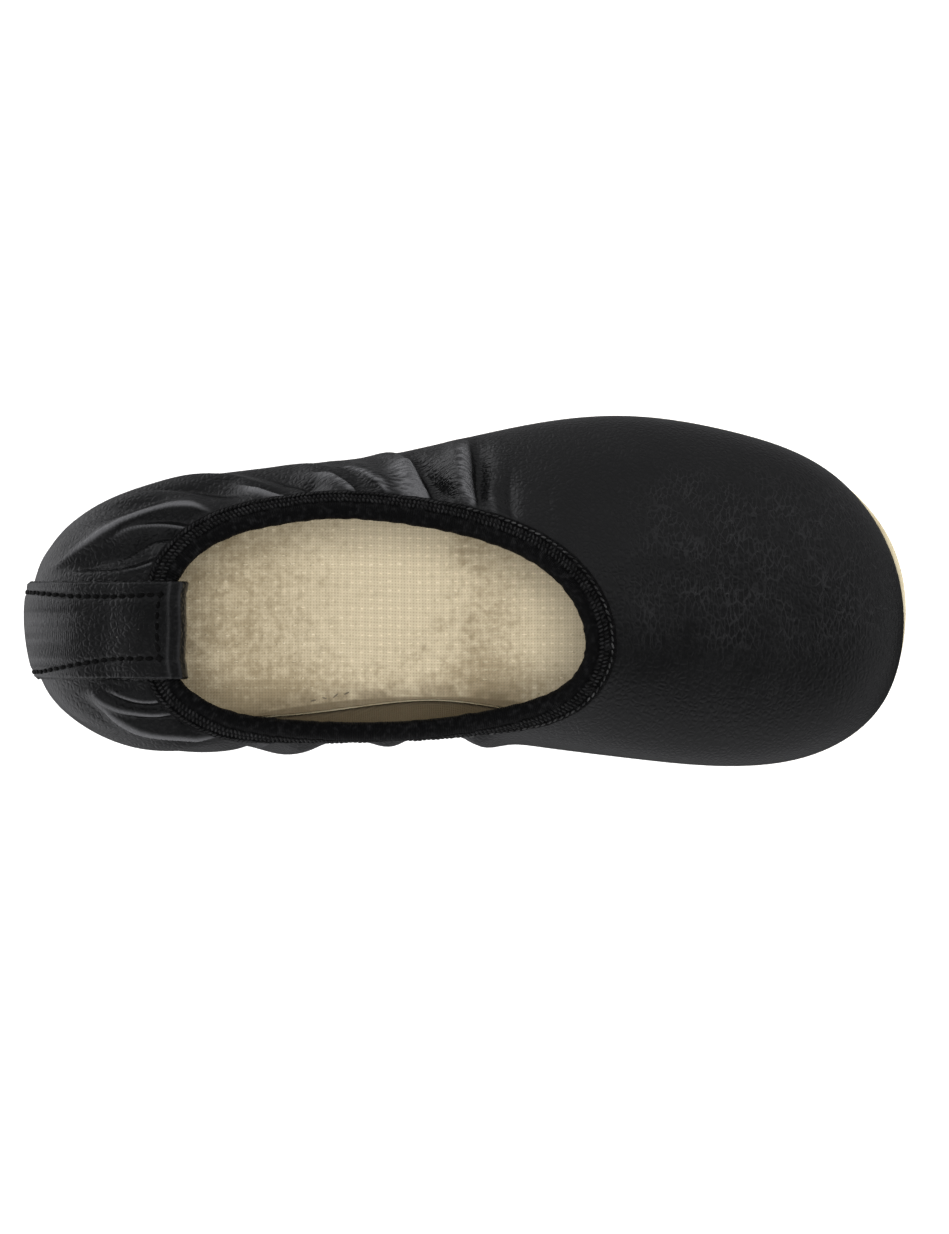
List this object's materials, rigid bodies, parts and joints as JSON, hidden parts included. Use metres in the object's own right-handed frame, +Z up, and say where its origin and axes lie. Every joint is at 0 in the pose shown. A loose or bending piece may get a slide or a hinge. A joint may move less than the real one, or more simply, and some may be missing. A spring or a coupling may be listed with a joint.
{
  "type": "gymnastics shoe",
  "caption": "Soft black leather gymnastics slipper with an elastic-bound oval collar, a sewn heel strip, canvas insole and thin cream rubber sole.",
  "frame": {"origin": "bottom centre of the shoe's box, on the floor plane that the heel and forefoot flats of the sole stand on", "axes": "+X towards the toe, +Y towards the outer side of the foot, +Z up"},
  "size_m": [0.1798, 0.0712, 0.0413],
  "materials": {
    "leather": "grained black leather with a soft sheen",
    "elastic": "matt ribbed black elastic tape",
    "canvas": "woven cream canvas, worn and a little dirty",
    "rubber": "matt cream rubber sheet"
  },
  "bodies": {
    "root": {"outsole": "rubber", "insole": "canvas", "upper": "leather", "collar_binding": "elastic", "heel_strip": "leather"}
  },
  "joints": []
}
